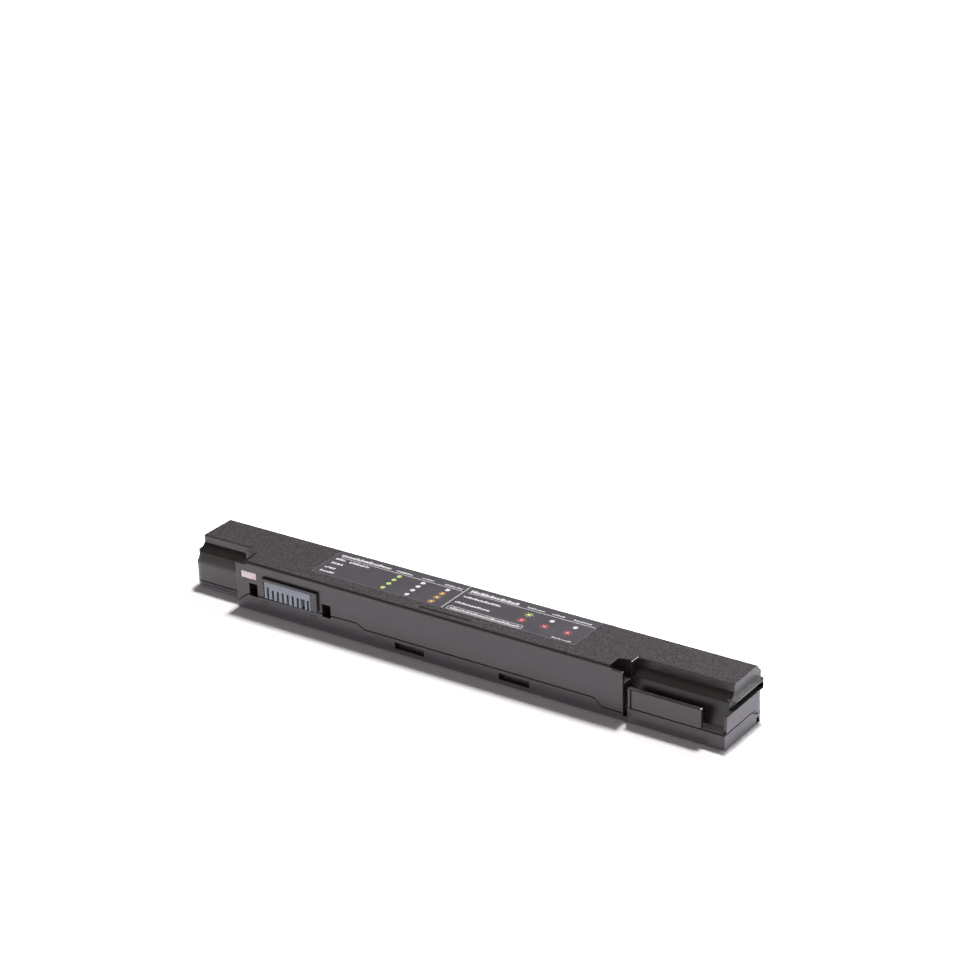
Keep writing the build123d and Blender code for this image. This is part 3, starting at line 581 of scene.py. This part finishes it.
def dress_all():
    """Every CAD node gets the material of its slot in the record."""
    top_z = cad_box[1][2]

    def plain(*values):
        return moulded_plastic(*values)[0]

    looks = {
        "housing": housing_material("housing_black", top_z),
        "housing_lower": housing_material("housing_black_lower", top_z),
        "label_film": film_material("label_film"),
        "sticker": sticker_material("indicator_paper"),
        "contact_block": comb_material("contact_block_grey"),
        "contact_metal": metal_material("plated_contact", (0.62, 0.46, 0.22), 0.25),
        "board": board_material("board_green"),
        "chip": plain("chip_black", (0.015, 0.015, 0.016), (0.024, 0.024, 0.025), (0.55, 0.7), 0.2),
        "chip_ceramic": plain("chip_ceramic", (0.42, 0.34, 0.24), (0.5, 0.42, 0.3), (0.35, 0.5), 0.2),
        "bead": plain("sensor_bead", (0.05, 0.03, 0.02), (0.08, 0.05, 0.03), (0.15, 0.25)),
        "cell_sleeve": plain("cell_sleeve", (0.05, 0.16, 0.32), (0.06, 0.19, 0.37), (0.2, 0.3), 2.0),
        "ring_card": plain("ring_card", (0.72, 0.70, 0.64), (0.8, 0.78, 0.72), (0.75, 0.9), 0.15, 0.01),
        "nickel": metal_material("nickel_strip", (0.62, 0.60, 0.56), 0.3),
        "lead_red": plain("lead_red", (0.42, 0.015, 0.015), (0.5, 0.02, 0.02), (0.35, 0.45)),
        "lead_black": plain("lead_black", (0.015, 0.015, 0.015), (0.022, 0.022, 0.022), (0.35, 0.45)),
        "lead_white": plain("lead_white", (0.68, 0.68, 0.66), (0.76, 0.76, 0.74), (0.35, 0.45)),
        "foam": plain("pad_foam", (0.02, 0.02, 0.02), (0.035, 0.035, 0.035), (0.85, 0.95), 0.6, 0.2),
    }
    for part in frame["record"]["subparts"]:
        dress(part["node"], looks[part["material_slot"]])


def make_camera():
    data = bpy.data.cameras.new("camera")
    data.sensor_width = 36.0
    data.lens = CAMERA_LENS
    data.clip_start = 0.05
    data.clip_end = 20.0
    camera = bpy.data.objects.new("camera", data)
    camera.location = CAMERA_PLACE
    camera.rotation_euler = [math.radians(a) for a in CAMERA_TURN]
    bpy.context.scene.collection.objects.link(camera)
    bpy.context.scene.camera = camera


def make_floor():
    """A pale floor that keeps the shadow, reads white to the camera, glows for the plastic's reflections only
    (a painted reflection) and is clear from below.
    """
    bm = bmesh.new()
    bmesh.ops.create_grid(bm, x_segments=2, y_segments=2, size=FLOOR_SIZE / 2)
    mesh = bpy.data.meshes.new("floor")
    bm.to_mesh(mesh)
    bm.free()
    floor = bpy.data.objects.new("floor", mesh)
    floor.location.z = -FLOOR_DROP * MM
    bpy.context.scene.collection.objects.link(floor)
    material, shader = new_material("floor_white")
    shader.inputs["Base Color"].default_value = (*FLOOR_COLOUR, 1)
    shader.inputs["Roughness"].default_value = 0.6
    shader.inputs["Specular IOR Level"].default_value = 0.0
    geometry = add_node(material, "ShaderNodeNewGeometry")
    forward = add_node(material, "ShaderNodeVectorMath", operation="ADD")
    link(material, geometry.outputs["Position"], forward.inputs[0])
    forward.inputs[1].default_value = (0, SHADOW_WIDTH / 2 * MM, 0)
    apart = add_node(material, "ShaderNodeVectorMath", operation="ABSOLUTE")
    link(material, forward.outputs["Vector"], apart.inputs[0])
    beyond = add_node(material, "ShaderNodeVectorMath", operation="SUBTRACT")
    link(material, apart.outputs["Vector"], beyond.inputs[0])
    beyond.inputs[1].default_value = (SLAB_LENGTH / 2 * MM, (DEPTH + SHADOW_WIDTH) / 2 * MM, 0)
    outside = add_node(material, "ShaderNodeVectorMath", operation="MAXIMUM")
    link(material, beyond.outputs["Vector"], outside.inputs[0])
    distance = add_node(material, "ShaderNodeVectorMath", operation="LENGTH")
    link(material, outside.outputs["Vector"], distance.inputs[0])
    rays = add_node(material, "ShaderNodeLightPath")
    split = add_node(material, "ShaderNodeSeparateXYZ")
    link(material, geometry.outputs["Position"], split.inputs["Vector"])
    right_end = SLAB_LENGTH / 2 * MM
    surface = shader.outputs["BSDF"]
    # camera rays see a white backdrop; glossy rays see a glow, a painted reflection, weaker near the pack and
    # stronger beyond its right end
    for ray, fade, least, right, colour in (
        ("Is Camera Ray", FLOOR_FADE, 0.0, 1.0, (1.0, 1.0, 1.0)),
        ("Is Glossy Ray", MIRRORED_GLOW_FADE, MIRRORED_GLOW_LEAST, MIRRORED_GLOW_RIGHT, MIRRORED_GLOW_COLOUR),
    ):
        away = map_range(material, distance.outputs["Value"], 0, fade * MM, least, 1)
        side = map_range(material, split.outputs["X"], right_end, right_end + MIRRORED_GLOW_BLEND * MM, 1, right)
        strength = computed(material, "MULTIPLY", rays.outputs[ray], away)
        backdrop_and_reflection_glow = add_node(material, "ShaderNodeEmission", Color=(*colour, 1))
        link(material, computed(material, "MULTIPLY", strength, side), backdrop_and_reflection_glow.inputs["Strength"])
        both = add_node(material, "ShaderNodeAddShader")
        link(material, surface, both.inputs[0])
        link(material, backdrop_and_reflection_glow.outputs["Emission"], both.inputs[1])
        surface = both.outputs["Shader"]
    clear = add_node(material, "ShaderNodeBsdfTransparent")
    sides = add_node(material, "ShaderNodeMixShader")
    link(material, geometry.outputs["Backfacing"], sides.inputs["Fac"])
    link(material, surface, sides.inputs[1])
    link(material, clear.outputs["BSDF"], sides.inputs[2])
    output = material.node_tree.nodes["Material Output"]
    link(material, sides.outputs["Shader"], output.inputs["Surface"])
    mesh.materials.append(material)


def make_light(name, place, size, power, only_mirrors=False):
    """A square soft box that faces the pack."""
    data = bpy.data.lights.new(name, "AREA")
    data.shape = "SQUARE"
    data.size = size
    data.energy = power
    light = bpy.data.objects.new(name, data)
    light.location = place
    light.visible_diffuse = not only_mirrors
    light.rotation_euler = (Vector((0, 0, 0)) - Vector(place)).to_track_quat("-Z", "Y").to_euler()
    bpy.context.scene.collection.objects.link(light)


def make_world():
    """White to the camera; to everything else a dark room, pale low in front and a little overhead."""
    world = bpy.data.worlds.new("studio")
    bpy.context.scene.world = world
    world.use_nodes = True
    background = world.node_tree.nodes["Background"]
    output = world.node_tree.nodes["World Output"]
    place = add_node(world, "ShaderNodeTexCoord")
    split = add_node(world, "ShaderNodeSeparateXYZ")
    link(world, place.outputs["Generated"], split.inputs["Vector"])
    front = map_range(world, split.outputs["Y"], 0.1, -0.5, 0, 1)
    low = map_range(world, split.outputs["Z"], 0.2, 0.45, 1, 0)
    pale = computed(world, "MULTIPLY", front, low)
    above = map_range(world, split.outputs["Z"], 0.55, 0.85, 0, 1)
    colour = None
    for factor, shade in ((None, SKY_DARK), (pale, SKY_FRONT), (above, SKY_ABOVE)):
        node = add_node(world, "ShaderNodeRGB")
        node.outputs["Color"].default_value = (*shade, 1)
        fresh = node.outputs["Color"]
        colour = fresh if factor is None else mixed(world, "RGBA", factor, colour, fresh)
    link(world, colour, background.inputs["Color"])
    white = add_node(world, "ShaderNodeBackground", Color=(1, 1, 1, 1))
    rays = add_node(world, "ShaderNodeLightPath")
    choose = add_node(world, "ShaderNodeMixShader")
    link(world, rays.outputs["Is Camera Ray"], choose.inputs["Fac"])
    link(world, background.outputs["Background"], choose.inputs[1])
    link(world, white.outputs["Background"], choose.inputs[2])
    link(world, choose.outputs["Shader"], output.inputs["Surface"])


make_camera()
make_world()
make_floor()
make_light("key", KEY_PLACE, KEY_SIZE, KEY_POWER)
make_light("spark", SPARK_PLACE, SPARK_SIZE, SPARK_POWER, only_mirrors=True)
dress_all()
print_chart()
bpy.context.scene.view_settings.view_transform = "Standard"
